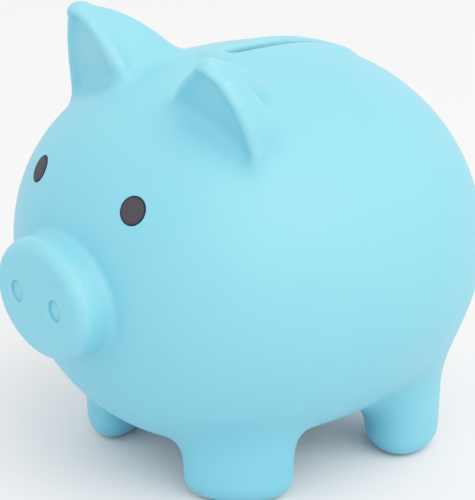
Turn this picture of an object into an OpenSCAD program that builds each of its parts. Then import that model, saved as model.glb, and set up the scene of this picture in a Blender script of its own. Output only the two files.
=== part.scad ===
// Round piggy bank: a hollow moulded body with a coin slot in its back and a
// screw-in stopper in its belly. The snout points along -Y and Z is up.
// The ground is z = 0 and the origin lies under the middle of the body.

/* [Body] */
// half of the body's width, measured to each side
body_rx = 52; // [40:1:80]
// half of the body's length, snout not included
body_ry = 51.8; // [40:0.2:80]
// half of the body's height
body_rz = 45.5; // [35:0.5:70]
// height of the body's middle above the ground
body_z = 51.5; // [45:0.5:80]
// distance of the body's middle behind the origin
body_y = 3; // [-10:0.5:10]
// fullness of the front: 2 is a plain ellipse, higher is blunter
front_blunt = 2.46; // [2:0.02:3]
// fullness of the rear: 2 is a plain ellipse, higher is blunter
rear_blunt = 2.28; // [2:0.02:3]
// thickness of the moulded wall
wall = 2.5; // [1.5:0.1:4]

/* [Snout] */
// half of the snout's width
snout_rx = 17.5; // [10:0.5:25]
// half of the snout's height
snout_rz = 13.5; // [10:0.5:25]
// distance of the snout's flat face in front of the origin
snout_reach = 56; // [50:0.5:70]
// height of the snout's middle above the ground
snout_z = 49.5; // [40:0.5:70]
// radius of the snout's rounded edge
snout_edge = 3.2; // [1:0.1:5]
// distance of each nostril from the middle
nostril_x = 7.6; // [4:0.1:10]
// radius of each nostril, a shallow round dimple
nostril_r = 2.5; // [1.5:0.1:4]
// depth of each nostril
nostril_depth = 0.7; // [0.3:0.1:1.5]

/* [Legs] */
// distance of the feet from the middle plane
leg_x = 24.5; // [15:0.5:35]
// distance of the front feet in front of the origin
front_leg_y = 18; // [10:0.5:35]
// distance of the rear feet behind the origin
rear_leg_y = 29.5; // [10:0.5:40]
// half of a front leg's long side
front_leg_long = 12.8; // [8:0.1:18]
// half of a front leg's short side
front_leg_short = 7.6; // [5:0.1:12]
// half of a rear leg's long side
rear_leg_long = 12.2; // [8:0.1:18]
// half of a rear leg's short side
rear_leg_short = 8.8; // [5:0.1:12]
// radius of the rounded edge round each sole
hoof_edge = 4; // [1:0.5:6]

/* [Ears] */
// distance of an ear's tip from the middle plane
ear_tip_x = 24.5; // [15:0.5:35]
// height of an ear's tip above the ground
ear_tip_z = 106; // [95:0.5:120]
// distance of an ear's tip in front of the origin
ear_tip_y = 27; // [15:0.5:35]

/* [Coin slot] */
// length of the slot
slot_len = 30; // [28:0.5:45]
// width of the slot
slot_w = 4.5; // [3:0.1:6]
// distance of the slot's middle behind the origin
slot_y = 12; // [0:0.5:20]

/* [Eyes] */
// distance of each eye from the middle plane
eye_x = 18.3; // [10:0.1:25]
// height of each eye above the ground
eye_z = 72.6; // [60:0.1:85]
// radius of each printed eye
eye_r = 3.35; // [2:0.05:5]

/* [Stopper] */
// distance of the belly hole's middle behind the origin
hole_y = 4; // [0:0.5:10]
// radius of the belly hole in the moulding
hole_r = 15.5; // [12:0.5:20]
// height of the sunken seat above the ground
seat_z = 11.4; // [10:0.1:14]
// distance the stopper travels in one turn
lead = 16; // [8:1:24]
// number of thread starts
starts = 4; // [2:1:6]

/* [Hidden] */

skin = "#9cdcec";
ink = "#3a3638";
collar_white = "#e9e7e1";
seal_grey = "#8d9296";

fine = 96;
oval_steps = 44;
flat = body_rz / body_rx;
eye_film = 0.2;
lip_h = 1.1;
lip_w = 15;
sole_trim = 0.15;

recess_r = 20.6;
plate_t = 2.5;
collar_bore = 14.0;
collar_h = 7;
collar_rim_r = 18.5;
gasket_t = 1.2;
flange_r = 20.0;
flange_t = 2.2;
plug_r = 12.7;
plug_wall = 1.8;
plug_top = seat_z + 6.1;
ridge = 1.1;
thread_gap = 6;
ridge_half = (360 / starts / 2 - thread_gap) / 2;
per_mm = 360 / lead;
rib_low = 1.2;
rib_h = 3;
lug_low = 2.2;
lug_h = 3;
// where an eye's middle lies on the body's surface, and which way the surface faces there
eye_ring = norm([eye_x, (eye_z - body_z) / flat]);
eye_share = eye_ring / body_rx;
eye_ahead = pow(1 - pow(eye_share, front_blunt), 1 / front_blunt);
eye_y = body_y - body_ry * eye_ahead;
eye_side = pow(eye_share, front_blunt - 1) / body_rx / eye_ring;
eye_out = [
    eye_side * eye_x,
    pow(eye_ahead, front_blunt - 1) / body_ry,
    eye_side * (eye_z - body_z) / flat / flat
];
eye_turn = atan2(eye_out[0], eye_out[1]);
eye_lift = atan2(eye_out[2], norm([eye_out[0], eye_out[1]]));

// Half outline of the body, radius along x and length along y, as a rounded oval whose
// corners are fuller than an ellipse's. The front end is a little blunter than the rear.
// inset shrinks it evenly, which leaves the wall its thickness.
function oval_point(t, inset) =
    let(blunt = t > 0 ? front_blunt : rear_blunt)
    [
        (body_rx - inset) * pow(max(cos(t), 0), 2 / blunt),
        (body_ry - inset) * sign(t) * pow(abs(sin(t)), 2 / blunt)
    ];

// The plain body: the oval turned about the length axis and pressed a little flatter.
module body_oval(inset = 0) {
    translate([0, body_y, body_z])
        scale([1, 1, flat])
            rotate([90, 0, 0])
                rotate_extrude($fn = fine)
                    polygon(concat(
                        [[0, -body_ry + inset]],
                        [for (i = [1:oval_steps - 1]) oval_point(180 * i / oval_steps - 90, inset)],
                        [[0, body_ry - inset]]
                    ));
}

// Upright round post with a rounded lower edge, standing on z = 0.
module round_post(r, h, edge) {
    rotate_extrude($fn = fine)
        union() {
            square([r - edge, h]);
            translate([0, edge]) square([r, h - edge]);
            translate([r - edge, edge]) circle(r = edge, $fn = 48);
        }
}

module snout(inset = 0) {
    translate([0, -snout_reach + inset, snout_z])
        rotate([-90, 0, 0])
            scale([(snout_rx - inset) / (snout_rz - inset), 1, 1])
                round_post(snout_rz - inset, 22, snout_edge - inset / 2);
}

// One leg: an oval post whose long side follows the round of the body. It starts just below
// the ground, where the whole body is trimmed to level soles.
module leg(x, y, long, short, turn, inset = 0) {
    translate([x, y, inset - sole_trim])
        rotate([0, 0, turn])
            scale([1, (short - inset) / (long - inset), 1])
                round_post(long - inset, 26 - inset, hoof_edge - inset / 2);
}

module legs(inset = 0) {
    for (side = [-1, 1]) {
        leg(side * leg_x, -front_leg_y, front_leg_long, front_leg_short, side * 49, inset);
        leg(side * leg_x, rear_leg_y, rear_leg_long, rear_leg_short, -side * 45, inset);
    }
}

module ball(at, r) {
    translate(at) sphere(r = r, $fn = 28);
}

// The left ear: a three-cornered flap with a cup in its front.
module left_ear() {
    difference() {
        hull() {
            ball([ear_tip_x, -ear_tip_y, ear_tip_z - 3.2], 3.2);
            ball([11.5, -21, 89.5], 4.2);
            ball([35.5, -22.5, 78], 4.2);
            ball([23.5, -12, 84.5], 7);
        }
        hull() {
            ball([ear_tip_x + 0.5, -ear_tip_y - 3.5, ear_tip_z - 9.5], 3);
            ball([17.5, -25.5, 91.5], 3.5);
            ball([32.5, -27, 82], 3.5);
        }
    }
}

// The rim that stands a little proud round the coin slot.
module slot_lip() {
    intersection() {
        body_oval(-lip_h);
        translate([0, slot_y, body_z]) {
            translate([-lip_w / 2, -slot_len / 2, 0]) cube([lip_w, slot_len, 60]);
            for (end = [-1, 1])
                translate([0, end * slot_len / 2, 0]) cylinder(r = lip_w / 2, h = 60, $fn = 64);
        }
    }
}

module slot_cut() {
    straight = slot_len - slot_w;
    translate([0, slot_y, body_z + 30]) {
        translate([-slot_w / 2, -straight / 2, 0]) cube([slot_w, straight, 40]);
        for (end = [-1, 1])
            translate([0, end * straight / 2, 0]) cylinder(r = slot_w / 2, h = 40, $fn = 48);
    }
}

module nostril() {
    rotate([-90, 0, 0]) translate([0, 0, -1]) cylinder(r = nostril_r, h = 1 + nostril_depth, $fn = 48);
}

// A small curl standing on the rump.
module tail() {
    translate([0, body_y + body_ry - 0.5, body_z + 9])
        rotate([90, 0, 0])
            union() {
                rotate([0, 0, -60])
                    rotate_extrude(angle = 290, $fn = fine)
                        translate([4, 0]) circle(r = 1.7, $fn = 32);
                rotate([0, 0, 230]) translate([4, 0, 0]) sphere(r = 1.7, $fn = 32);
                rotate([0, 0, -60]) translate([4, 0, 0]) sphere(r = 1.7, $fn = 32);
            }
}

// Thickened floor round the belly hole, clipped to the body's outside.
module seat_well() {
    intersection() {
        body_oval();
        translate([0, hole_y, 0]) cylinder(r = recess_r + wall, h = seat_z + plate_t, $fn = fine);
    }
}

module body_shell() {
    color(skin)
        difference() {
            union() {
                difference() {
                    union() {
                        body_oval();
                        snout();
                        legs();
                        left_ear();
                        mirror([1, 0, 0]) left_ear();
                        slot_lip();
                        tail();
                    }
                    body_oval(wall);
                    snout(wall);
                    legs(wall);
                }
                seat_well();
            }
            translate([0, hole_y, -1]) cylinder(r = recess_r, h = seat_z + 1, $fn = fine);
            translate([0, hole_y, 0]) cylinder(r = hole_r, h = 20, $fn = fine);
            slot_cut();
            for (side = [-1, 1])
                translate([side * nostril_x, -snout_reach, snout_z]) nostril();
            translate([-body_rx, -snout_reach, -1]) cube([2 * body_rx, 2 * snout_reach, 1]);
        }
}

// A printed eye: a thin film that lies on the body's surface.
module eye(side) {
    color(ink)
        intersection() {
            difference() {
                body_oval(-eye_film);
                body_oval();
            }
            translate([side * eye_x, eye_y, eye_z])
                rotate([0, 0, side * eye_turn])
                    rotate([90 - eye_lift, 0, 0])
                        translate([0, 0, -4]) cylinder(r = eye_r, h = 8, $fn = 64);
        }
}

module left_eye() {
    eye(1);
}

module right_eye() {
    eye(-1);
}

// Helical rib: a ring sector that climbs with a constant lead.
module helical_rib(r_in, r_out, half_angle, start_angle, h) {
    steps = 6;
    rotate([0, 0, start_angle])
        linear_extrude(height = h, twist = -per_mm * h, slices = 14)
            polygon(concat(
                [for (i = [0:steps]) r_out * [cos(half_angle * (2 * i / steps - 1)),
                    sin(half_angle * (2 * i / steps - 1))]],
                [for (i = [steps:-1:0]) r_in * [cos(half_angle * (2 * i / steps - 1)),
                    sin(half_angle * (2 * i / steps - 1))]]
            ));
}

module belly_collar() {
    color(collar_white)
        translate([0, hole_y, seat_z])
            union() {
                difference() {
                    union() {
                        cylinder(r = hole_r, h = collar_h, $fn = fine);
                        translate([0, 0, plate_t]) cylinder(r = collar_rim_r, h = 1.5, $fn = fine);
                    }
                    translate([0, 0, -1]) cylinder(r = collar_bore, h = collar_h + 2, $fn = fine);
                }
                for (i = [0:starts - 1])
                    translate([0, 0, rib_low])
                        helical_rib(collar_bore - ridge, collar_bore + 0.4, ridge_half,
                            i * 360 / starts + per_mm * rib_low, rib_h);
            }
}

module stopper_gasket() {
    color(seal_grey)
        translate([0, hole_y, seat_z - gasket_t])
            difference() {
                cylinder(r = flange_r - 0.6, h = gasket_t, $fn = fine);
                translate([0, 0, -1]) cylinder(r = hole_r + 0.5, h = gasket_t + 2, $fn = fine);
            }
}

module stopper() {
    flange_low = seat_z - gasket_t - flange_t;
    color(skin)
        translate([0, hole_y, 0])
            union() {
                difference() {
                    union() {
                        translate([0, 0, flange_low]) cylinder(r = flange_r, h = flange_t, $fn = fine);
                        translate([0, 0, flange_low])
                            cylinder(r = plug_r, h = plug_top - flange_low, $fn = fine);
                    }
                    translate([0, 0, flange_low - 1])
                        cylinder(r = plug_r - plug_wall, h = plug_top - flange_low + 1 - plug_wall, $fn = fine);
                }
                translate([-plug_r + 0.9, -1.6, flange_low])
                    cube([2 * plug_r - 1.8, 3.2, plug_top - flange_low - 0.9]);
                for (i = [0:starts - 1])
                    translate([0, 0, seat_z + lug_low])
                        helical_rib(plug_r - 0.4, plug_r + ridge, ridge_half,
                            (i + 0.5) * 360 / starts + per_mm * lug_low, lug_h);
            }
}

body_shell();
left_eye();
right_eye();
belly_collar();
stopper_gasket();
stopper();
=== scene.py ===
"""Looks of a round hollow piggy bank with a screw-in stopper in its belly.

The moulded body, the collar and the stopper are blended forms: each is a signed distance
(negative inside the material) worked out on whole numpy arrays, and its skin is netted
and then laid exactly on the zero level. The eyes and the seal ring are profiles carried
round a circle. Shape functions work in millimetres, meshes are in metres.
"""

from __future__ import annotations

import logging
import math
from dataclasses import dataclass
from enum import Enum
from typing import Callable, Union

import bpy
import numpy as np
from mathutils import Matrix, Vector


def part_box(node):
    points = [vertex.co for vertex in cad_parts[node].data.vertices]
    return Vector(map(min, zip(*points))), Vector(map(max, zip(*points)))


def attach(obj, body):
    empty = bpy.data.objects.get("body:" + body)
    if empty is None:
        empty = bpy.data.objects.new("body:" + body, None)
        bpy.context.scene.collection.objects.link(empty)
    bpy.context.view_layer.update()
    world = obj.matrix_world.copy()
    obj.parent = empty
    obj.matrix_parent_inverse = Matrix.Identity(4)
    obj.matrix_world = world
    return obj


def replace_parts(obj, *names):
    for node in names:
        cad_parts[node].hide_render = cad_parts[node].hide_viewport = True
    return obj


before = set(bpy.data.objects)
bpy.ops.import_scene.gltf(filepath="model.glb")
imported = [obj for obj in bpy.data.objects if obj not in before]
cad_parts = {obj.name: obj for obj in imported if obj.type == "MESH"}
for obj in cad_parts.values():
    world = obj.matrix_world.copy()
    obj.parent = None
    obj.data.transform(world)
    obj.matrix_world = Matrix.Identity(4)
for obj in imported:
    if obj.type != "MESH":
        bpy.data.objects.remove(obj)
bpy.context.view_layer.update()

LOG = logging.getLogger("piggy_bank")
MM = 0.001
TINY = 1e-9
HOLE_R = 15.5  # Radius of the hole in the belly, in millimetres.
Array = np.ndarray
Distance = Callable[[Array], Array]


class Body(Enum):
    """The moving bodies that pieces ride on."""

    PIG = "pig"
    SEAL_RING = "seal_ring"
    PLUG = "plug"


class Slot(Enum):
    """The finishes that the record names."""

    SKIN = "skin"
    EYE_PRINT = "eye_print"
    COLLAR = "collar_plastic"
    SEAL = "seal"
    STOPPER = "stopper_plastic"


# --- Shape arithmetic ---


def join(a: Array, b: Array, soft: float) -> Array:
    """Union of two distances with a fillet.

    The smaller distance, lowered by a parabola where the two are within soft of each other.

    Args:
        a: First distance.
        b: Second distance.
        soft: How far apart the two may be and still blend, in millimetres.

    Returns:
        The joined distance.
    """
    near = np.maximum(soft - np.abs(a - b), 0.0) / soft
    return np.minimum(a, b) - near * near * soft * 0.25


def meet(a: Array, b: Array, soft: float) -> Array:
    """Common part of two distances with a rounded edge: the mirror image of join()."""
    return -join(-a, -b, soft)


def cut(a: Array, b: Array, soft: float) -> Array:
    """What is left of a when b is taken out of it, with a rounded edge."""
    return -join(-a, b, soft)


def smooth_step(x: Array) -> Array:
    """0 below 0, 1 above 1, and 3x^2 - 2x^3 between."""
    t = np.clip(x, 0.0, 1.0)
    return t * t * (3.0 - 2.0 * t)


def stadium(u: Array, v: Array, half: float, radius: float) -> Array:
    """Distance to a flat strip with round ends.

    Args:
        u: Coordinate across the strip.
        v: Coordinate along the strip, from its middle.
        half: Half the distance between the centres of its round ends.
        radius: Radius of its ends.

    Returns:
        Distance in the plane to the point's nearest place on the middle line, less radius.
    """
    return np.hypot(u, v - np.clip(v, -half, half)) - radius


def slab(x: Array, low: float, thick: float) -> Array:
    """Distance to the layer from low to low plus thick."""
    return np.abs(x - low - thick / 2) - thick / 2


def oval_post(u: Array, v: Array, half_u: float, half_v: float, beyond: Array, edge: float) -> Array:
    """Distance to a post of oval section with a rounded end.

    The oval's distance is its level less one over its slope, and the rounded end is the usual
    corner: both distances are moved in by the edge radius and joined by Pythagoras.

    Args:
        u: Coordinate along the section's first axis.
        v: Coordinate along the section's second axis.
        half_u: Half of the section along u.
        half_v: Half of the section along v.
        beyond: Distance past the end face, positive outside.
        edge: Radius of the end's rounded edge.

    Returns:
        Signed distance.
    """
    level = np.hypot(u / half_u, v / half_v) + TINY
    slope = np.hypot(u / half_u**2, v / half_v**2) / level + TINY
    side = (level - 1.0) / slope
    corner = np.hypot(np.maximum(side + edge, 0.0), np.maximum(beyond + edge, 0.0))
    return corner + np.minimum(np.maximum(side, beyond) + edge, 0.0) - edge


def segment(points: Array, start: Array, line: Array) -> Array:
    """Distance to the nearest place on a straight line that begins at start."""
    share = np.clip((points - start) @ line / (line @ line), 0.0, 1.0)
    return np.linalg.norm(points - start - share[:, None] * line, axis=1)


def triangle(points: Array, corners: Array) -> Array:
    """Distance to a flat triangle without thickness.

    Over the triangle it is the height above its plane, and elsewhere the distance to the
    nearest of its three edges.

    Args:
        points: Where the distance is wanted.
        corners: The triangle's three corners, one a row.

    Returns:
        Unsigned distance.
    """
    after = np.roll(corners, -1, axis=0)
    normal = np.cross(after[0] - corners[0], corners[2] - corners[0])
    normal /= np.linalg.norm(normal)
    over = np.ones(len(points), bool)
    nearest = np.full(len(points), np.inf)
    for corner, line in zip(corners, after - corners):
        over &= (points - corner) @ np.cross(normal, line) >= 0.0
        nearest = np.minimum(nearest, segment(points, corner, line))
    return np.where(over, np.abs((points - corners[0]) @ normal), nearest)


def bulge(distance: Distance, points: Array, reach: float) -> Array:
    """How sharply a surface bulges: its distance summed over six near points, less six times the
    distance itself, over reach squared.

    Args:
        distance: The surface's signed distance.
        points: Points on the surface.
        reach: How far away the six points lie.

    Returns:
        The bulge at each point, positive on outer edges.
    """
    total = -6.0 * distance(points)
    for way in np.concatenate([np.eye(3), -np.eye(3)]) * reach:
        total += distance(points + way)
    return total / reach**2


def node_box(node: str) -> tuple[Array, Array]:
    """The low and high corner of a CAD node, in millimetres."""
    low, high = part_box(node)
    return np.array(low) / MM, np.array(high) / MM


# --- Skinning a distance ---

CUBE = np.array([[i, j, k] for i in (0, 1) for j in (0, 1) for k in (0, 1)])
CUBE_EDGES = [(a, b) for a in range(8) for b in range(a + 1, 8) if np.abs(CUBE[a] - CUBE[b]).sum() == 1]
# How a triangle (corners 0 1 2, edge middles 3 4 5) is divided for each set of split edges.
SPLITS = {
    0: [(0, 1, 2)],
    1: [(0, 3, 2), (3, 1, 2)],
    2: [(1, 4, 0), (4, 2, 0)],
    4: [(2, 5, 1), (5, 0, 1)],
    3: [(3, 1, 4), (0, 3, 4), (0, 4, 2)],
    6: [(4, 2, 5), (1, 4, 5), (1, 5, 0)],
    5: [(5, 0, 3), (2, 5, 3), (2, 3, 1)],
    7: [(0, 3, 5), (3, 1, 4), (5, 4, 2), (3, 4, 5)],
}


@dataclass
class Skin:
    """Skins a signed distance: nets it on a grid, evens the net out, and refines it where it bends.

    The box from low to high is netted with a margin, in steps. An edge is split where its middle
    lies further than the tolerance from the surface, unless it is shorter than shortest.
    """

    distance: Distance
    low: Array
    high: Array
    step: float
    tolerance: float = 0.02
    shortest: float = 0.5
    passes: int = 3
    probe: float = 0.05
    margin: float = 2.7
    least_slope: float = 0.05

    def gradient(self, points: Array) -> Array:
        """The direction in which the distance grows, from four samples at a tetrahedron's corners.

        Args:
            points: Where it is wanted.

        Returns:
            The gradient, one row a point.
        """
        ways = np.array([[1, 1, 1], [1, -1, -1], [-1, 1, -1], [-1, -1, 1]], float)
        total = np.zeros_like(points)
        for way in ways:
            total += way * self.distance(points + way * self.probe)[:, None]
        return total / (4.0 * self.probe)

    def settle(self, points: Array, rounds: int = 4) -> Array:
        """Newton's method: each point steps along the gradient by distance over slope squared.

        Args:
            points: Points near the surface.
            rounds: How many steps to take.

        Returns:
            Points on the surface.
        """
        for _ in range(rounds):
            slope = self.gradient(points)
            gap = self.distance(points) / np.maximum((slope * slope).sum(1), self.least_slope)
            points = points - slope * np.clip(gap, -self.step, self.step)[:, None]
        return points

    @staticmethod
    def untangle(value: Array, rounds: int = 20, nudge: float = 0.001) -> None:
        """Clears the grid's doubtful squares, whose opposite corners lie on the same side while
        their neighbours lie on the other: the corner nearest the surface changes sides.

        Args:
            value: The distances on the grid, changed in place.
            rounds: The most passes to make.
            nudge: The distance that a changed corner is given.
        """
        aside, along = np.array([0, 1, 1, 0]), np.array([0, 0, 1, 1])
        for _ in range(rounds):
            doubtful = 0
            for axis in range(3):
                flat = np.moveaxis(value, axis, 2)
                ring = np.stack([flat[:-1, :-1], flat[1:, :-1], flat[1:, 1:], flat[:-1, 1:]])
                side = ring < 0
                mixed = (side[0] == side[2]) & (side[1] == side[3]) & (side[0] != side[1])
                i, j, k = np.nonzero(mixed)
                doubtful += len(i)
                least = np.abs(ring[:, i, j, k]).argmin(0)
                at = i + aside[least], j + along[least], k
                flat[at] = -np.copysign(nudge, ring[least, i, j, k])
            if not doubtful:
                return

    def net(self) -> tuple[Array, Array]:
        """Surface net: one point in each grid cell that the surface crosses, at the mean of its
        crossings with the cell's edges, and one quad round each grid edge that it crosses.

        Returns:
            Points in millimetres and triangles, each quad cut along its shorter diagonal.
        """
        low, high = self.low - self.margin * self.step, self.high + self.margin * self.step
        size = np.ceil((high - low) / self.step).astype(int) + 1
        axes = [low[i] + self.step * np.arange(size[i]) for i in range(3)]
        grid = np.stack(np.meshgrid(*axes, indexing="ij"), -1).reshape(-1, 3)
        value = self.distance(grid).reshape(size)
        self.untangle(value)
        cells = size - 1
        corner = [value[i : i + cells[0], j : j + cells[1], k : k + cells[2]] for i, j, k in CUBE]
        inside = sum((c < 0).astype(int) for c in corner)
        mixed = (inside > 0) & (inside < 8)
        picked = np.stack([c[mixed] for c in corner])
        place, count = np.zeros((picked.shape[1], 3)), np.zeros(picked.shape[1])
        for a, b in CUBE_EDGES:
            crossed = (picked[a] < 0) != (picked[b] < 0)
            share = np.where(crossed, picked[a] / np.where(crossed, picked[a] - picked[b], 1.0), 0.0)
            place += np.where(crossed[:, None], CUBE[a] + share[:, None] * (CUBE[b] - CUBE[a]), 0.0)
            count += crossed
        points = low + self.step * (np.argwhere(mixed) + place / count[:, None])
        number = np.full(cells, -1)
        number[mixed] = np.arange(len(points))
        quad = np.concatenate([self._quads_round(value, number, axis) for axis in range(3)])
        first = np.linalg.norm(points[quad[:, 0]] - points[quad[:, 2]], axis=1)
        second = np.linalg.norm(points[quad[:, 1]] - points[quad[:, 3]], axis=1)
        turned = np.where((first <= second)[:, None], quad, np.roll(quad, -1, axis=1))
        return points, np.concatenate([turned[:, [0, 1, 2]], turned[:, [0, 2, 3]]])

    @staticmethod
    def _quads_round(value: Array, number: Array, axis: int) -> Array:
        """The quads round the crossed grid edges along one axis, wound so that they face outward.

        Args:
            value: The distances on the grid.
            number: The number of each cell's point, or -1.
            axis: The grid edges' direction.

        Returns:
            Four point numbers a quad.
        """
        value = np.moveaxis(value, axis, 0)
        number = np.moveaxis(number, axis, 0)
        here = value[:-1, 1:-1, 1:-1] < 0
        there = value[1:, 1:-1, 1:-1] < 0
        quads = []
        for crossed, turn in ((here & ~there, 1), (~here & there, -1)):
            i, j, k = np.nonzero(crossed)
            ring = [number[i, j, k], number[i, j + 1, k], number[i, j + 1, k + 1], number[i, j, k + 1]]
            turn = -turn if axis == 1 else turn
            quads.append(np.stack(ring[::turn], 1))
        return np.concatenate(quads)

    @staticmethod
    def edges(triangles: Array) -> tuple[Array, Array]:
        """Finds the edges.

        Args:
            triangles: Three point numbers a row.

        Returns:
            Each edge once, and for each triangle the numbers of its three edges.
        """
        pairs = np.concatenate([triangles[:, [0, 1]], triangles[:, [1, 2]], triangles[:, [2, 0]]])
        pairs = np.sort(pairs, axis=1)
        unique, back = np.unique(pairs, axis=0, return_inverse=True)
        return unique, back.reshape(3, -1).T

    def relax(self, points: Array, triangles: Array, rounds: int = 4) -> Array:
        """Evens the net: each point moves half way to the mean of its neighbours and is laid back.

        Args:
            points: The net's points.
            triangles: Its triangles.
            rounds: How often they move.

        Returns:
            The moved points.
        """
        pairs, _ = self.edges(triangles)
        both = np.concatenate([pairs, pairs[:, ::-1]])
        count = np.bincount(both[:, 0], minlength=len(points))[:, None]
        for _ in range(rounds):
            near = points[both[:, 1]]
            total = np.stack([np.bincount(both[:, 0], column, len(points)) for column in near.T], 1)
            points = self.settle(0.5 * points + 0.5 * total / count, 2)
        return points

    def refine(self, points: Array, triangles: Array) -> tuple[Array, Array]:
        """Splits the edges whose middle lies off the surface, and lays the new points on it.

        Args:
            points: The net's points.
            triangles: Its triangles.

        Returns:
            All the points, old and new, and the new triangles.
        """
        pairs, of_triangle = self.edges(triangles)
        ends = points[pairs]
        middle = ends.mean(1)
        length = np.linalg.norm(ends[:, 0] - ends[:, 1], axis=1)
        split = (np.abs(self.distance(middle)) > self.tolerance) & (length > self.shortest)
        number = np.full(len(pairs), -1)
        number[split] = len(points) + np.arange(split.sum())
        points = np.concatenate([points, self.settle(middle[split])])
        middles = number[of_triangle]
        code = (middles >= 0) @ np.array([1, 2, 4])
        six = np.concatenate([triangles, middles], axis=1)
        parts = [six[code == c][:, p] for c, plan in SPLITS.items() for p in map(list, plan)]
        return points, np.concatenate(parts)

    def build(self) -> tuple[Array, Array, Array]:
        """Nets, evens out and refines.

        Returns:
            Points in millimetres, triangles, and the unit normal at each point.
        """
        points, triangles = self.net()
        points = self.relax(self.settle(points), triangles)
        for _ in range(self.passes):
            points, triangles = self.refine(points, triangles)
        normal = self.gradient(points)
        normal /= np.maximum(np.linalg.norm(normal, axis=1), TINY)[:, None]
        return points, triangles, normal


def ring_grid(points: Array, closed: bool) -> tuple[Array, list]:
    """Faces of a grid of rings, with a pole at each end or closed on itself.

    Args:
        points: Array of rings x steps x 3, each ring running once round.
        closed: True if the last ring joins the first, False if each end ring is one point.

    Returns:
        The points as one list, and the faces.
    """
    rings, steps, _ = points.shape
    i, j = np.meshgrid(np.arange(rings), np.arange(steps), indexing="ij")
    here, side = i * steps + j, i * steps + (j + 1) % steps
    if closed:
        up, up_side = np.roll(here, -1, 0), np.roll(side, -1, 0)
        faces = np.stack([here, side, up_side, up], -1).reshape(-1, 4)
        return points.reshape(-1, 3), faces.tolist()
    flat = np.concatenate([points[:1, 0], points[1:-1].reshape(-1, 3), points[-1:, 0]])
    number = 1 + np.arange((rings - 2) * steps).reshape(rings - 2, steps)
    after = np.roll(number, -1, 1)
    band = np.stack([number[:-1], after[:-1], after[1:], number[1:]], -1).reshape(-1, 4)
    first = np.stack([np.zeros(steps, int), after[0], number[0]], -1)
    last = np.stack([np.full(steps, len(flat) - 1), number[-1], after[-1]], -1)
    return flat, band.tolist() + first.tolist() + last.tolist()


def make_piece(
    name: str, points: Array, faces: list | Array, normals: Array | None = None
) -> bpy.types.Object:
    """Puts points in millimetres into a new smooth mesh object at the origin.

    Args:
        name: Name of the piece.
        points: Points in millimetres.
        faces: Faces as lists of point numbers, or triangles as an array.
        normals: The surface's own normal at each point, if it is known.

    Returns:
        The new object.
    """
    mesh = bpy.data.meshes.new(name)
    if isinstance(faces, np.ndarray):
        mesh.vertices.add(len(points))
        mesh.vertices.foreach_set("co", (points * MM).astype(np.float32).ravel())
        mesh.loops.add(faces.size)
        mesh.loops.foreach_set("vertex_index", faces.astype(np.int32).ravel())
        mesh.polygons.add(len(faces))
        mesh.polygons.foreach_set("loop_start", np.arange(0, faces.size, 3, dtype=np.int32))
        mesh.update(calc_edges=True)
        mesh.validate()
    else:
        mesh.from_pydata((points * MM).tolist(), [], faces)
    mesh.polygons.foreach_set("use_smooth", np.ones(len(mesh.polygons), bool))
    if normals is not None:
        mesh.normals_split_custom_set_from_vertices(normals.tolist())
    piece = bpy.data.objects.new(name, mesh)
    bpy.context.scene.collection.objects.link(piece)
    return piece


def add_values(piece: bpy.types.Object, name: str, values: Array) -> None:
    """Stores one number for each point of a piece under a name that its material reads."""
    attribute = piece.data.attributes.new(name, "FLOAT", "POINT")
    attribute.data.foreach_set("value", values.astype(np.float32))


# --- Materials ---


@dataclass(frozen=True)
class Number:
    """A number socket on which Python's operators add Math nodes."""

    sheet: "Sheet"
    socket: bpy.types.NodeSocket

    def __add__(self, other: "Value") -> "Number":
        """Sum."""
        return self.sheet.maths("ADD", self, other)

    def __mul__(self, other: "Value") -> "Number":
        """Product."""
        return self.sheet.maths("MULTIPLY", self, other)

    def __sub__(self, other: "Value") -> "Number":
        """Difference."""
        return self.sheet.maths("SUBTRACT", self, other)

    __radd__ = __add__


Value = Union[Number, float]
Color = tuple[float, float, float]


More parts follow.
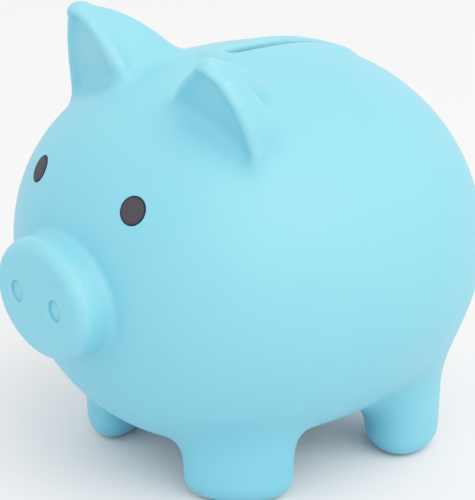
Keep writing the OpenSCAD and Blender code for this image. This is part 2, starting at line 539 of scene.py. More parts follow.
class Sheet:
    """The node sheet of one material."""

    def __init__(self, name: str) -> None:
        """Starts an empty sheet for a new material."""
        self.material = bpy.data.materials.new(name)
        self.material.use_nodes = True
        self.tree = self.material.node_tree
        self.tree.nodes.clear()
        self.place = self.node("ShaderNodeTexCoord").outputs["Object"]

    def node(self, kind: str, settings: dict | None = None, sockets: dict | None = None) -> bpy.types.Node:
        """Adds one node.

        Args:
            kind: The node's type.
            settings: Its properties, set first. "stops" gives a ramp's (place, value) stops.
            sockets: Its inputs by name or number: a value, a socket or a Number.

        Returns:
            The node.
        """
        made = self.tree.nodes.new(kind)
        for key, value in (settings or {}).items():
            if key == "stops":
                ramp = made.color_ramp
                while len(ramp.elements) < len(value):
                    ramp.elements.new(1.0)
                for element, (at, tone) in zip(ramp.elements, value):
                    element.position, element.color = at, (tone, tone, tone, 1.0)
            else:
                setattr(made, key, value)
        for key, value in (sockets or {}).items():
            value = value.socket if isinstance(value, Number) else value
            if isinstance(value, bpy.types.NodeSocket):
                self.tree.links.new(value, made.inputs[key])
            else:
                made.inputs[key].default_value = value
        return made

    def maths(self, operation: str, a: Value, b: Value) -> Number:
        """A Math node on two numbers."""
        made = self.node("ShaderNodeMath", {"operation": operation}, {0: a, 1: b})
        return Number(self, made.outputs[0])

    def noise(self, scale: float, detail: float = 2.0, rough: float = 0.5) -> Number:
        """Noise of about 0 to 1 on the piece's own coordinates, with scale in patches a metre."""
        values = {"Vector": self.place, "Scale": scale, "Detail": detail, "Roughness": rough}
        return Number(self, self.node("ShaderNodeTexNoise", {}, values).outputs[0])

    def ramp(self, value: Value, stops: list[tuple[float, float]]) -> Number:
        """A number bent through (place, value) stops."""
        made = self.node("ShaderNodeValToRGB", {"stops": stops}, {0: value})
        return Number(self, made.outputs[0])

    def attribute(self, name: str) -> Number:
        """A number stored on the piece's points."""
        made = self.node("ShaderNodeAttribute", {"attribute_name": name})
        return Number(self, made.outputs["Fac"])

    def height(self) -> Number:
        """How high a point lies above the ground, in metres."""
        return Number(self, self.node("ShaderNodeSeparateXYZ", {}, {0: self.place}).outputs["Z"])

    def tint(self, a: Union[Color, bpy.types.NodeSocket], b: Color, share: Value) -> bpy.types.NodeSocket:
        """The colour a turned towards b by a share."""
        first = a if isinstance(a, bpy.types.NodeSocket) else (*a, 1.0)
        values = {0: share, 6: first, 7: (*b, 1.0)}
        return self.node("ShaderNodeMix", {"data_type": "RGBA"}, values).outputs[2]

    def bump(self, height: Value, distance: float) -> bpy.types.NodeSocket:
        """A normal that follows a height of 0 to 1 times a distance in metres."""
        values = {"Strength": 1.0, "Distance": distance, "Height": height}
        return self.node("ShaderNodeBump", {}, values).outputs[0]

    def finish(self, sockets: dict) -> bpy.types.Material:
        """Adds the shader with its sockets and joins it to the output."""
        shader = self.node("ShaderNodeBsdfPrincipled", {}, sockets)
        self.node("ShaderNodeOutputMaterial", {}, {"Surface": shader.outputs[0]})
        return self.material


@dataclass(frozen=True)
class SoftTouch:
    """Matt soft-touch plastic: fine grain, a slight drift of tone, and rubbed high edges."""

    name: str
    base: Color = (0.118, 0.445, 0.600)
    deep: Color = (0.106, 0.430, 0.590)
    rubbed: Color = (0.19, 0.51, 0.65)
    scuff: Color = (0.13, 0.37, 0.47)
    roughness: float = 0.58
    sole_height: float = 0.0012

    def make(self) -> bpy.types.Material:
        """Builds the material."""
        sheet = Sheet(self.name)
        drift = sheet.ramp(sheet.noise(28.0, 3.0), [(0.3, 0.0), (0.7, 1.0)])
        rub = sheet.attribute("rub")
        patch = sheet.ramp(sheet.noise(240.0, 4.0, 0.6), [(0.35, 0.2), (0.7, 1.0)])
        sole = sheet.ramp(sheet.height() * (1.0 / self.sole_height), [(0.2, 1.0), (1.0, 0.0)])
        scuffs = sole * sheet.ramp(sheet.noise(900.0, 5.0, 0.7), [(0.45, 0.0), (0.62, 1.0)])
        color = sheet.tint(self.base, self.deep, drift)
        color = sheet.tint(color, self.rubbed, rub * patch * 0.45)
        color = sheet.tint(color, self.scuff, scuffs * 0.7)
        grain = sheet.noise(5200.0, 2.0, 0.6)
        ripple = sheet.noise(420.0, 2.0)
        relief = sheet.bump(grain * 0.35 + ripple * 0.65, 0.00006)
        rough = self.roughness + (sheet.noise(1500.0, 3.0) - 0.5) * 0.16 - rub * 0.08 + drift * 0.03
        return sheet.finish(
            {
                "Base Color": color,
                "Roughness": rough,
                "Normal": relief,
                "IOR": 1.5,
                "Specular IOR Level": 0.8,
                "Sheen Weight": 0.05,
                "Sheen Roughness": 0.5,
                "Sheen Tint": (0.85, 0.96, 1.0, 1.0),
            }
        )


@dataclass(frozen=True)
class EyeInk:
    """Satin printing ink: a dark film, darker where it gathers at its rim, with a fine screen grain."""

    name: str
    ink: Color = (0.046, 0.042, 0.049)
    rim: Color = (0.010, 0.011, 0.015)
    roughness: float = 0.6

    def make(self) -> bpy.types.Material:
        """Builds the material."""
        sheet = Sheet(self.name)
        edge = sheet.ramp(sheet.attribute("edge"), [(0.84, 0.0), (0.93, 1.0)])
        cloud = sheet.noise(700.0, 3.0)
        color = sheet.tint(self.ink, self.rim, edge * 0.9 + cloud * 0.12)
        relief = sheet.bump(sheet.noise(6000.0, 2.0) * 0.5 + cloud * 0.5, 0.00003)
        rough = self.roughness + (cloud - 0.5) * 0.2
        return sheet.finish({"Base Color": color, "Roughness": rough, "Normal": relief, "IOR": 1.15})


@dataclass(frozen=True)
class Moulded:
    """Plain satin moulded plastic: faint flow marks, fine grain, paler rubbed edges."""

    name: str
    base: Color
    worn: Color
    roughness: float = 0.38

    def make(self) -> bpy.types.Material:
        """Builds the material."""
        sheet = Sheet(self.name)
        flow = sheet.ramp(sheet.noise(90.0, 4.0, 0.6), [(0.3, 0.0), (0.7, 1.0)])
        rub = sheet.attribute("rub") * sheet.ramp(sheet.noise(500.0, 4.0), [(0.4, 0.1), (0.65, 1.0)])
        shade = tuple(0.93 * c for c in self.base)
        color = sheet.tint(sheet.tint(self.base, shade, flow), self.worn, rub * 0.6)
        relief = sheet.bump(sheet.noise(3800.0, 3.0, 0.6) * 0.4 + flow * 0.6, 0.00005)
        rough = self.roughness + (sheet.noise(1800.0, 3.0) - 0.5) * 0.18 + rub * 0.1
        return sheet.finish({"Base Color": color, "Roughness": rough, "Normal": relief, "IOR": 1.48})


@dataclass(frozen=True)
class SealRubber:
    """Soft grey rubber: dusty, matt, with a fine pimpled surface."""

    name: str
    base: Color = (0.255, 0.275, 0.295)
    dust: Color = (0.46, 0.48, 0.49)
    roughness: float = 0.78

    def make(self) -> bpy.types.Material:
        """Builds the material."""
        sheet = Sheet(self.name)
        dusty = sheet.ramp(sheet.noise(600.0, 5.0, 0.7), [(0.42, 0.0), (0.75, 1.0)])
        color = sheet.tint(self.base, self.dust, dusty * 0.6)
        pimples = sheet.noise(4200.0, 2.0)
        rough = self.roughness + (pimples - 0.5) * 0.15
        relief = sheet.bump(pimples * 0.7 + dusty * 0.3, 0.00008)
        return sheet.finish({"Base Color": color, "Roughness": rough, "Normal": relief, "IOR": 1.52})


@dataclass(frozen=True)
class FloorPaint:
    """The pale ground: nearly white, with a very faint mottling."""

    name: str
    base: Color = (0.74, 0.74, 0.74)

    def make(self) -> bpy.types.Material:
        """Builds the material, which lets a camera below the ground see through it."""
        sheet = Sheet(self.name)
        shade = tuple(0.985 * c for c in self.base)
        color = sheet.tint(self.base, shade, sheet.noise(6.0, 2.0))
        top = sheet.node("ShaderNodeBsdfDiffuse", {}, {"Color": color})
        under = sheet.node("ShaderNodeBsdfTransparent")
        side = sheet.node("ShaderNodeNewGeometry").outputs["Backfacing"]
        both = {0: side, 1: top.outputs[0], 2: under.outputs[0]}
        mixed = sheet.node("ShaderNodeMixShader", {}, both)
        sheet.node("ShaderNodeOutputMaterial", {}, {"Surface": mixed.outputs[0]})
        return sheet.material


# --- The moulded body ---


@dataclass(frozen=True)
class Leg:
    """One pair of legs: oval posts whose long side is turned from X, in millimetres and degrees."""

    aside: float
    along: float
    half_long: float
    half_short: float
    turn: float
    fillet: float


@dataclass
class MouldedBody:
    """The hollow body with its snout, legs, ears, slot, tail and belly seat, in millimetres."""

    half_width: float
    snout_reach: float
    seat_z: float
    hole_y: float
    half_front: float = 51.8
    half_rear: float = 49.9
    half_top: float = 44.3
    half_bottom: float = 46.1
    section: float = 2.02
    middle_y: float = 3.0
    middle_z: float = 52.0
    front_blunt: float = 2.46
    rear_blunt: float = 2.52
    droop: float = 2.0
    wall: float = 2.5
    snout_rx: float = 17.5
    snout_rz: float = 13.5
    snout_z: float = 49.3
    snout_edge: float = 3.2
    snout_back: float = -26.0
    snout_fillet: float = 1.6
    nostril_x: float = 7.6
    nostril_r: float = 2.5
    nostril_depth: float = 0.75
    nostril_edge: float = 0.35
    front_leg: Leg = Leg(24.0, -18.4, 13.4, 7.9, 49.0, 5.0)
    rear_leg: Leg = Leg(25.8, 30.0, 12.8, 9.5, -45.0, 7.0)
    hoof_edge: float = 5.0
    leg_taper: float = 0.08
    leg_top: float = 30.0
    slot_length: float = 30.0
    slot_width: float = 4.0
    slot_y: float = 12.0
    slot_edge: float = 1.5
    slot_floor: float = 20.0
    lip_length: float = 26.0
    lip_width: float = 15.0
    lip_height: float = 0.9
    lip_slope: float = 3.4
    ear_leaf: tuple = (
        (24.6, -26.9, 104.3),
        (13.5, -25.2, 99.4),
        (10.4, -23.6, 90.5),
        (33.6, -20.2, 77.5),
        (34.1, -22.5, 97.1),
    )
    ear_rim: float = 1.9
    ear_ridges: tuple = (
        ((24.2, -26.2, 104.2, 1.9), (21.6, -19.1, 100.5, 6.0), (16.3, -12.5, 89.2, 8.5)),
        ((24.2, -26.2, 104.2, 1.9), (17.5, -22.0, 99.0, 3.4), (14.5, -19.0, 90.0, 5.0)),
        ((24.2, -26.2, 104.2, 1.9), (29.8, -20.5, 97.5, 4.2), (27.5, -14.5, 80.0, 7.5)),
    )
    ear_box: tuple = ((0.0, -40.0, 62.0), (46.0, 4.0, 112.0))
    ear_far: float = 20.0
    ear_fillet: float = 3.2
    ridge_fillet: float = 2.4
    ear_lean: float = 3.0
    lean_from: float = 82.0
    lean_over: float = 20.0
    cup_leaf: tuple = (
        (23.9, -29.2, 101.5),
        (17.0, -28.2, 98.0),
        (14.8, -26.9, 89.5),
        (30.6, -22.7, 76.0),
        (31.0, -24.3, 98.2),
    )
    cup_r: float = 2.9
    cup_edge: float = 1.8
    tail_up: float = 9.0
    tail_ring: float = 4.2
    tail_r: float = 1.75
    tail_ends: tuple = (-70.0, 265.0)
    tail_fillet: float = 2.0
    recess_r: float = 20.6
    recess_edge: float = 0.9
    plate: float = 2.5
    hole_edge: float = 0.5
    hollow_edge: float = 0.6
    well_fillet: float = 5.0
    rub_from: float = 0.12
    rub_over: float = 0.5
    rub_reach: float = 0.9
    grid_step: float = 1.4

    @classmethod
    def from_frame(cls) -> "MouldedBody":
        """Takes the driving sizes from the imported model."""
        low, high = node_box("body_shell")
        collar_low, collar_high = node_box("belly_collar")
        return cls(
            half_width=float(high[0] - low[0]) / 2,
            snout_reach=float(-low[1]),
            seat_z=float(node_box("stopper_gasket")[1][2]),
            hole_y=float(collar_low[1] + collar_high[1]) / 2,
        )

    def oval(self, points: Array) -> Array:
        """The plain body: level less one over slope, where level is the root of the sum of powers
        of the point's share of the section and of the length, and the front droops as a parabola.

        Args:
            points: Where the distance is wanted.

        Returns:
            Signed distance.
        """
        x, y, z = points.T
        back = y - self.middle_y
        length = np.where(back < 0.0, self.half_front, self.half_rear)
        ahead = np.clip(-back / length, 0.0, 1.2)
        up = z - self.middle_z + self.droop * ahead**2
        height = np.where(up > 0.0, self.half_top, self.half_bottom)
        blunt = np.where(back < 0.0, self.front_blunt, self.rear_blunt)
        wide, high = np.abs(x) / self.half_width, np.abs(up) / height
        across = (wide**self.section + high**self.section) ** (1.0 / self.section) + TINY
        along = np.abs(back) / length + TINY
        level = (across**blunt + along**blunt) ** (1.0 / blunt)
        side = (across / level) ** (blunt - 1.0)
        wide, high = (wide / across) ** (self.section - 1.0), (high / across) ** (self.section - 1.0)
        side *= np.hypot(wide / self.half_width, high / height)
        end = (along / level) ** (blunt - 1.0) / length
        return (level - 1.0) / np.hypot(side, end)

    def snout(self, points: Array) -> Array:
        """An oval post along the length that ends in the flat face."""
        x, y, z = points.T
        up, ahead = z - self.snout_z, -y - self.snout_reach
        post = oval_post(x, up, self.snout_rx, self.snout_rz, ahead, self.snout_edge)
        return np.maximum(post, y - self.snout_back)

    def legs(self, points: Array, leg: Leg) -> Array:
        """A pair of upright oval posts, left and right, which stand on the ground and taper to it.

        Args:
            points: Where the distance is wanted.
            leg: The pair's sizes.

        Returns:
            Signed distance to the pair.
        """
        x, y, z = points.T
        c, s = math.cos(math.radians(leg.turn)), math.sin(math.radians(leg.turn))
        grow = 1.0 - self.leg_taper * np.clip(1.0 - z / self.leg_top, 0.0, 1.0)
        dx, dy = (np.abs(x) - leg.aside) / grow, (y - leg.along) / grow
        u, v = c * dx + s * dy, c * dy - s * dx
        post = oval_post(u, v, leg.half_long, leg.half_short, -z, self.hoof_edge)
        return np.maximum(post, z - self.leg_top)

    def trunk(self, points: Array) -> Array:
        """Body, snout and legs as one blended form, without the small things on it."""
        form = self.oval(points)
        for leg in (self.front_leg, self.rear_leg):
            form = join(form, self.legs(points, leg), leg.fillet)
        return join(form, self.snout(points), self.snout_fillet)

    @staticmethod
    def leaf(points: Array, corners: Array, steps: int = 5) -> Array:
        """Distance to a sheet in the form of a leaf, laid as triangles from its tip.

        Args:
            points: Where the distance is wanted.
            corners: Tip, bend of the inner side, inner end, outer end, bend of the outer side.
            steps: How many straight lengths stand for each side, a quadratic curve.

        Returns:
            Unsigned distance.
        """
        tip, inner_bend, inner, outer, outer_bend = corners
        t = np.linspace(0.0, 1.0, steps + 1)[1:, None]
        down = tip * (1 - t) ** 2 + inner_bend * 2 * t * (1 - t) + inner * t**2
        back = tip * (1 - t) ** 2 + outer_bend * 2 * t * (1 - t) + outer * t**2
        rim = np.concatenate([down, back[::-1]])
        return np.minimum.reduce([triangle(points, np.array([tip, a, b])) for a, b in zip(rim, rim[1:])])

    @staticmethod
    def ridge(points: Array, stations: Array, balls: int = 15) -> Array:
        """Distance to a ball that moves along a quadratic curve while its radius follows the same
        curve: a(1-t)^2 + 2bt(1-t) + ct^2. The least of the balls' distances is lowered to the
        bottom of the parabola through it and its two neighbours.

        Args:
            points: Where the distance is wanted.
            stations: Rows a, b and c, each x, y, z and radius.
            balls: How many balls stand for the curve.

        Returns:
            Signed distance.
        """
        t = np.linspace(0.0, 1.0, balls)[:, None]
        path = stations[0] * (1 - t) ** 2 + stations[1] * 2 * t * (1 - t) + stations[2] * t**2
        gap = np.stack([np.linalg.norm(points - ball[:3], axis=1) - ball[3] for ball in path])
        least = gap.argmin(0)
        inner = np.clip(least, 1, balls - 2)
        before, here, after = (np.take_along_axis(gap, (inner + i)[None], 0)[0] for i in (-1, 0, 1))
        hump = np.maximum(before + after - 2.0 * here, TINY)
        bottom = here - (after - before) ** 2 / (8.0 * hump)
        return np.where(least == inner, bottom, gap.min(0))

    def ear(self, points: Array) -> Array:
        """A pair of ears: a rounded flap with three ridges down its back, less a cup, which is a
        smaller flap pushed out through the front. The left ear leans lower.

        Args:
            points: Where the distance is wanted.

        Returns:
            Signed distance, which outside the ears' box is only a large number.
        """
        mirrored = points.copy()
        mirrored[:, 0] = np.abs(points[:, 0])
        low, high = np.array(self.ear_box)
        within = ((mirrored >= low) & (mirrored <= high)).all(1)
        near = mirrored[within]
        lower = (points[within, 0] > 0.0) * smooth_step((near[:, 2] - self.lean_from) / self.lean_over)
        near[:, 2] += self.ear_lean * lower
        flap = self.leaf(near, np.array(self.ear_leaf)) - self.ear_rim
        for stations in self.ear_ridges:
            flap = join(flap, self.ridge(near, np.array(stations)), self.ridge_fillet)
        cup = np.array(self.cup_leaf)
        ahead = np.cross(cup[3] - cup[0], cup[2] - cup[0])
        ahead /= -np.sign(ahead[1]) * np.linalg.norm(ahead)
        cup = cup - ((cup - cup[0]) @ ahead)[:, None] * ahead
        out = np.maximum((near - cup[0]) @ ahead, 0.0)
        hollow = self.leaf(near - out[:, None] * ahead, cup) - self.cup_r
        found = np.full(len(points), self.ear_far)
        found[within] = cut(flap, hollow, self.cup_edge)
        return found

    def tail(self, points: Array) -> Array:
        """A curl that tapers as it winds in: distance to the spiral's point at the same angle.

        Args:
            points: Where the distance is wanted.

        Returns:
            Signed distance.
        """
        x, y, z = points.T
        dx, dz = x, z - (self.middle_z + self.tail_up)
        angle = np.arctan2(dz, dx)
        best = np.full(len(points), np.inf)
        start, end = np.radians(self.tail_ends)
        for turn in (-1, 0, 1, 2):
            at = np.clip(angle + 2 * math.pi * turn, start, end)
            share = (at - start) / (end - start)
            ring = self.tail_ring * (1.0 - 0.42 * share**1.5)
            reach = self.snout_reach - self.tail_r - 0.1 + 0.5 * share
            gap = np.sqrt((dx - ring * np.cos(at)) ** 2 + (dz - ring * np.sin(at)) ** 2 + (y - reach) ** 2)
            best = np.minimum(best, gap - self.tail_r * (1.0 - 0.35 * share))
        return best

    def lip(self, points: Array) -> Array:
        """How much the surface stands proud round the slot."""
        x, y, z = points.T
        flat = stadium(x, y - self.slot_y, self.lip_length / 2, self.lip_width / 2)
        return self.lip_height * smooth_step(0.5 - flat / self.lip_slope) * (z > self.middle_z)

    def distance(self, points: Array) -> Array:
        """The whole moulding: outside form less the hollow, the seat, the holes and the slot.

        Args:
            points: Where the distance is wanted.

        Returns:
            Signed distance.
        """
        x, y, z = points.T
        trunk = self.trunk(points)
        outside = trunk - self.lip(points)
        outside = join(outside, self.ear(points), self.ear_fillet)
        outside = join(outside, self.tail(points), self.tail_fillet)
        radius = np.hypot(x, y - self.hole_y)
        well = np.maximum(radius - self.recess_r - self.wall, z - self.seat_z - self.plate)
        hollow = cut(trunk + self.wall, well, self.well_fillet)
        shell = cut(outside, hollow, self.hollow_edge)
        recess = np.maximum(radius - self.recess_r, z - self.seat_z)
        shell = cut(shell, recess, self.recess_edge)
        shell = cut(shell, np.maximum(radius - HOLE_R, z - 2 * self.seat_z), self.hole_edge)
        slot = stadium(x, y - self.slot_y, (self.slot_length - self.slot_width) / 2, self.slot_width / 2)
        shell = cut(shell, np.maximum(slot, self.middle_z + self.slot_floor - z), self.slot_edge)
        dimple = np.hypot(np.abs(x) - self.nostril_x, z - self.snout_z)
        dish = 0.55 + 0.45 * (dimple / self.nostril_r) ** 2
        beyond = y + self.snout_reach - self.nostril_depth * dish
        return cut(shell, np.maximum(dimple - self.nostril_r, beyond), self.nostril_edge)

    def build(self) -> bpy.types.Object:
        """Skins the moulding and dresses it."""
        low, high = node_box("body_shell")
        points, triangles, normals = Skin(self.distance, low, high, self.grid_step).build()
        piece = make_piece("moulded_body", points, triangles, normals)
        edges = bulge(self.distance, points, self.rub_reach)
        add_values(piece, "rub", smooth_step((edges - self.rub_from) / self.rub_over))
        piece.data.materials.append(SoftTouch("soft_touch_blue").make())
        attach(piece, Body.PIG.value)
        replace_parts(piece, "body_shell")
        return piece


# --- Eyes ---


@dataclass
class PrintedEyes:
    """Two round films of ink that follow the curve of the forehead, in millimetres."""

    body: MouldedBody
    radius: float = 3.3
    film: float = 0.16
    sunk: float = 0.3
    steps: int = 96
    rings: int = 14
    few: int = 6
    undercut: float = 0.05

    def profile(self) -> tuple[Array, Array]:
        """The film's profile.

        Returns:
            Radius and height from its middle out over its rounded edge and back beneath it.
        """
        flat = self.radius - self.film
        turn = np.linspace(0.0, math.pi / 2, self.few)[1:]
        below = np.linspace(self.radius - self.undercut, 0.0, self.few)
        reach = [np.linspace(0.0, flat, self.rings), flat + self.film * np.sin(turn), below]
        heights = [np.full(self.rings, self.film), self.film * np.cos(turn), 0.0 * below - self.sunk]
        return np.concatenate(reach), np.concatenate(heights)

    def build_one(self, node: str, material: bpy.types.Material) -> bpy.types.Object:
        """Builds one eye where its CAD node lies.

        Args:
            node: Name of the CAD node.
            material: The ink.

        Returns:
            The piece.
        """
        low, high = node_box(node)
        shape = Skin(self.body.distance, low, high, 1.0)
        middle = shape.settle(((low + high) / 2)[None])
        out = shape.gradient(middle)[0]
        out /= np.linalg.norm(out)
        across = np.cross([0.0, 0.0, 1.0], out)
        across /= np.linalg.norm(across)
        up = np.cross(out, across)
        reach, height = self.profile()
        turn = np.linspace(0.0, 2 * math.pi, self.steps, endpoint=False)
        flat = np.cos(turn)[:, None] * across + np.sin(turn)[:, None] * up
        base = shape.settle((middle[0] + reach[:, None, None] * flat).reshape(-1, 3))
        normal = shape.gradient(base)
        normal /= np.linalg.norm(normal, axis=1)[:, None]
        points = base + normal * np.repeat(height, self.steps)[:, None]
        merged, faces = ring_grid(points.reshape(len(reach), self.steps, 3)[::-1], False)
        piece = make_piece(node + "_print", merged, faces)
        inner = np.repeat(reach[::-1][1:-1] / self.radius, self.steps)
        add_values(piece, "edge", np.concatenate([[0.0], inner, [0.0]]))
        piece.data.materials.append(material)
        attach(piece, Body.PIG.value)
        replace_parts(piece, node)
        return piece

    def build(self) -> list[bpy.types.Object]:
        """Builds both eyes."""
        ink = EyeInk("eye_ink").make()
        return [self.build_one(node, ink) for node in ("left_eye", "right_eye")]


# --- Belly closure ---


@dataclass
class BellyClosure:
    """Collar, seal ring and stopper under the belly, in millimetres."""

    middle_y: float
    seat_z: float
    flange_low: float
    flange_r: float
    plug_top: float
    collar_bore: float = 14.0
    collar_h: float = 7.0
    rim_r: float = 18.5
    rim_h: float = 1.5
    rim_clear: float = 0.3
    plate: float = 2.5
    plug_r: float = 12.7
    plug_wall: float = 1.8
    flange_t: float = 2.2
    bar_half: float = 1.6
    bar_draft: float = 0.035
    bar_low: float = 0.15
    bar_sunk: float = 0.9
    ridge: float = 1.1
    root: float = 0.6
    edge: float = 0.5
    soft: float = 1.0
    seal_gap: float = 0.5
    seal_power: float = 0.28
    worn_from: float = 0.5
    worn_over: float = 2.0
    worn_reach: float = 0.4
    starts: int = 4
    lead: float = 16.0
    rib_half_turn: float = 19.5
    rib_low: float = 1.2
    lug_low: float = 2.2
    rib_h: float = 3.0
    rib_root: float = 0.4
    grid_step: float = 0.62

    @classmethod
    def from_frame(cls) -> "BellyClosure":
        """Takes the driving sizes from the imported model."""
        low, high = node_box("stopper")
        return cls(
            middle_y=float(low[1] + high[1]) / 2,
            seat_z=float(node_box("stopper_gasket")[1][2]),
            flange_low=float(low[2]),
            flange_r=float(high[0] - low[0]) / 2,
            plug_top=float(high[2]),
        )

    def ribs(self, radius: Array, angle: Array, z: Array, low: float, phase: float) -> Array:
        """Screw ribs: a block of angle, which leans by a full turn each lead, and of height.

        Args:
            radius: Distance from the closure's axis.
            angle: Angle round it, in degrees.
            z: Height above the seat.
            low: Where the ribs begin.
            phase: Angle of the first rib's middle at the seat, in starts.

        Returns:
            Distance across and along the ribs, without their radial limits.
        """
        pitch = 360.0 / self.starts
        lean = angle - z * 360.0 / self.lead - phase * pitch
        off = np.abs((lean + pitch / 2) % pitch - pitch / 2) - self.rib_half_turn
        return np.maximum(np.radians(off) * radius, slab(z, low, self.rib_h))

    def polar(self, points: Array) -> tuple[Array, Array, Array]:
        """Radius, angle in degrees and height above the seat."""
        x, y, z = points.T
        y = y - self.middle_y
        return np.hypot(x, y), np.degrees(np.arctan2(y, x)), z - self.seat_z

    def collar(self, points: Array) -> Array:
        """A tube with a rim on the seat plate and screw ribs in its bore.

        Args:
            points: Where the distance is wanted.

        Returns:
            Signed distance.
        """
        radius, angle, z = self.polar(points)
        side = slab(radius, self.collar_bore, HOLE_R - self.collar_bore)
        tube = meet(side, slab(z, 0.0, self.collar_h), self.edge)
        rim = meet(radius - self.rim_r, slab(z, self.plate, self.rim_h), self.edge)
        rim = np.maximum(rim, self.collar_bore + self.rim_clear - radius)
        rib = self.ribs(radius, angle, z, self.rib_low, 0.0)
        rib = meet(rib, self.collar_bore - self.ridge - radius, self.edge)
        rib = np.maximum(rib, radius - self.collar_bore - self.rib_root)
        return join(join(tube, rim, self.root), rib, self.edge)

    def stopper(self, points: Array) -> Array:
        """A flange and a hollow plug, open below, with a grip bar across it and screw lugs.

        Args:
            points: Where the distance is wanted.

        Returns:
            Signed distance.
        """
        radius, angle, z = self.polar(points)
        low, top = self.flange_low - self.seat_z, self.plug_top - self.seat_z
        side = radius - self.plug_r
        flange = meet(radius - self.flange_r, slab(z, low, self.flange_t), 1.1 * self.soft)
        plug = meet(side, np.maximum(z - top, low + self.edge - z), self.soft)
        lug = meet(self.ribs(radius, angle, z, self.lug_low, 0.5), side - self.ridge, self.edge)
        lug = np.maximum(lug, -self.root - side)
        form = join(join(flange, plug, 0.8 * self.soft), lug, self.edge)
        pocket = meet(side + self.plug_wall, z - top + self.plug_wall, 1.6 * self.soft)
        form = cut(form, pocket, self.soft)
        bar = np.abs(points[:, 1] - self.middle_y) - self.bar_half + self.bar_draft * (z - low)
        bar = meet(bar, low + self.bar_low - z, 1.4 * self.soft)
        bar = np.maximum(bar, np.maximum(side + self.root, z - top + self.bar_sunk))
        return join(form, bar, self.soft)

    def skin(self, name: str, node: str, shape: Distance, body: Body) -> bpy.types.Object:
        """Skins one of the two mouldings.

        Args:
            name: Name of the piece.
            node: The CAD node that it stands for.
            shape: Its distance.
            body: What it rides on.

        Returns:
            The piece.
        """
        fine = {"tolerance": 0.012, "shortest": 0.25, "passes": 2, "probe": 0.02}
        points, triangles, normals = Skin(shape, *node_box(node), self.grid_step, **fine).build()
        piece = make_piece(name, points, triangles, normals)
        edges = bulge(shape, points, self.worn_reach)
        add_values(piece, "rub", smooth_step((edges - self.worn_from) / self.worn_over))
        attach(piece, body.value)
        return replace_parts(piece, node)

    def build_collar(self) -> bpy.types.Object:
        """Builds the collar."""
        piece = self.skin("threaded_collar", "belly_collar", self.collar, Body.PIG)
        finish = Moulded("collar_satin", (0.80, 0.79, 0.75), (0.88, 0.87, 0.85))
        piece.data.materials.append(finish.make())
        return piece

    def build_seal(self) -> bpy.types.Object:
        """Builds the seal ring: a rounded square, the middle plus half times the sine and cosine
        raised to a power with their signs kept, is carried round the axis."""
        low, high = node_box("stopper_gasket")
        outer, inner = float(high[0] - low[0]) / 2, HOLE_R + self.seal_gap
        t = np.linspace(0.0, 2 * math.pi, 72, endpoint=False)
        c, s = (np.sign(way) * np.abs(way) ** self.seal_power for way in (np.cos(t), np.sin(t)))
        r = (outer + inner) / 2 + (outer - inner) / 2 * c
        z = float(high[2] + low[2]) / 2 + float(high[2] - low[2]) / 2 * s
        turn = np.linspace(0.0, 2 * math.pi, 144, endpoint=False)
        x, y = np.outer(r, np.cos(turn)), self.middle_y + np.outer(r, np.sin(turn))
        points, faces = ring_grid(np.stack([x, y, np.repeat(z[:, None], len(turn), 1)], -1), True)
        piece = make_piece("seal_ring_soft", points, faces)
        piece.data.materials.append(SealRubber("seal_rubber").make())
        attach(piece, Body.SEAL_RING.value)
        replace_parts(piece, "stopper_gasket")
        return piece

    def build_stopper(self) -> bpy.types.Object:
        """Builds the stopper."""
        piece = self.skin("screw_stopper", "stopper", self.stopper, Body.PLUG)
        finish = Moulded("stopper_satin", (0.118, 0.445, 0.600), (0.24, 0.55, 0.68), 0.42)
        piece.data.materials.append(finish.make())
        return piece


# --- Studio ---


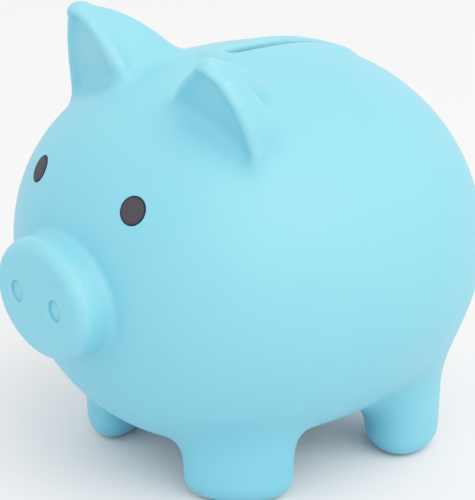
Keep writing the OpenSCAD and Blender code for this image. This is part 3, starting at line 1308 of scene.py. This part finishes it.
@dataclass
class Studio:
    """Pale floor, soft light and the camera, in metres and degrees."""

    azimuth: float = 52.2
    elevation: float = 20.6
    distance: float = 0.45
    aim: tuple[float, float, float] = (0.0, -0.0001, 0.0484)
    lens: float = 137.9
    sensor: float = 36.0
    floor_half: float = 3.0
    floor_gap: float = 0.00006
    sky: float = 1.45
    key_azimuth: float = 95.0
    key_elevation: float = 52.0
    key_away: float = 1.2
    key_size: float = 1.3
    key_power: float = 13.5
    white: float = 2.0
    shoulder: float = 2.4

    @staticmethod
    def way(azimuth: float, elevation: float) -> Vector:
        """Unit direction from the object, with azimuth 0 towards -Y and 90 towards +X."""
        a, e = math.radians(azimuth), math.radians(elevation)
        return Vector((math.sin(a) * math.cos(e), -math.cos(a) * math.cos(e), math.sin(e)))

    def place(self, item: bpy.types.Object, way: Vector, away: float) -> None:
        """Links a camera or a light, in a direction from the aim, and turns it to the aim."""
        item.location = Vector(self.aim) + way * away
        item.rotation_euler = way.to_track_quat("Z", "Y").to_euler()
        bpy.context.scene.collection.objects.link(item)

    def build_floor(self) -> bpy.types.Object:
        """Builds the floor."""
        half = self.floor_half / MM
        flat = np.array([[-half, -half], [half, -half], [half, half], [-half, half]])
        corners = np.concatenate([flat, np.full((4, 1), -self.floor_gap / MM)], axis=1)
        floor = make_piece("studio_floor", corners, [[0, 1, 2, 3]])
        floor.data.materials.append(FloorPaint("floor_paint").make())
        return floor

    def build_camera(self) -> bpy.types.Object:
        """Builds the camera and makes it the scene's own."""
        data = bpy.data.cameras.new("camera")
        data.sensor_width, data.lens = self.sensor, self.lens
        data.clip_start, data.clip_end = 0.01, 20.0
        camera = bpy.data.objects.new("camera", data)
        self.place(camera, self.way(self.azimuth, self.elevation), self.distance)
        bpy.context.scene.camera = camera
        return camera

    def build_key(self) -> bpy.types.Object:
        """Builds the key light, a square soft light that points at the object."""
        data = bpy.data.lights.new("key", "AREA")
        data.shape, data.size, data.energy = "SQUARE", self.key_size, self.key_power
        light = bpy.data.objects.new("key", data)
        self.place(light, self.way(self.key_azimuth, self.key_elevation), self.key_away)
        return light

    def develop(self, stops: int = 9) -> None:
        """Sets the render's tone: y = 1 - (1 - x)^shoulder, where x is the light over white."""
        view = bpy.context.scene.view_settings
        view.view_transform = "Standard"
        view.use_curve_mapping = True
        mapping = view.curve_mapping
        mapping.white_level = (self.white, self.white, self.white)
        curve = mapping.curves[3]
        for x in np.linspace(0.0, 1.0, stops)[1:-1]:
            curve.points.new(float(x), float(1.0 - (1.0 - x) ** self.shoulder))
        mapping.update()

    def build(self) -> None:
        """Builds the whole studio."""
        self.build_camera()
        self.build_floor()
        world = bpy.data.worlds.new("sky")
        world.use_nodes = True
        background = world.node_tree.nodes["Background"]
        background.inputs["Color"].default_value = (1.0, 1.0, 1.0, 1.0)
        background.inputs["Strength"].default_value = self.sky
        bpy.context.scene.world = world
        self.build_key()
        self.develop()


def main() -> None:
    """Builds the studio and every piece in order."""
    logging.basicConfig(level=logging.INFO, format="%(message)s")
    Studio().build()
    body = MouldedBody.from_frame()
    closure = BellyClosure.from_frame()
    made = [body.build(), *PrintedEyes(body).build()]
    made += [closure.build_collar(), closure.build_seal(), closure.build_stopper()]


if __name__ == "__main__":
    main()
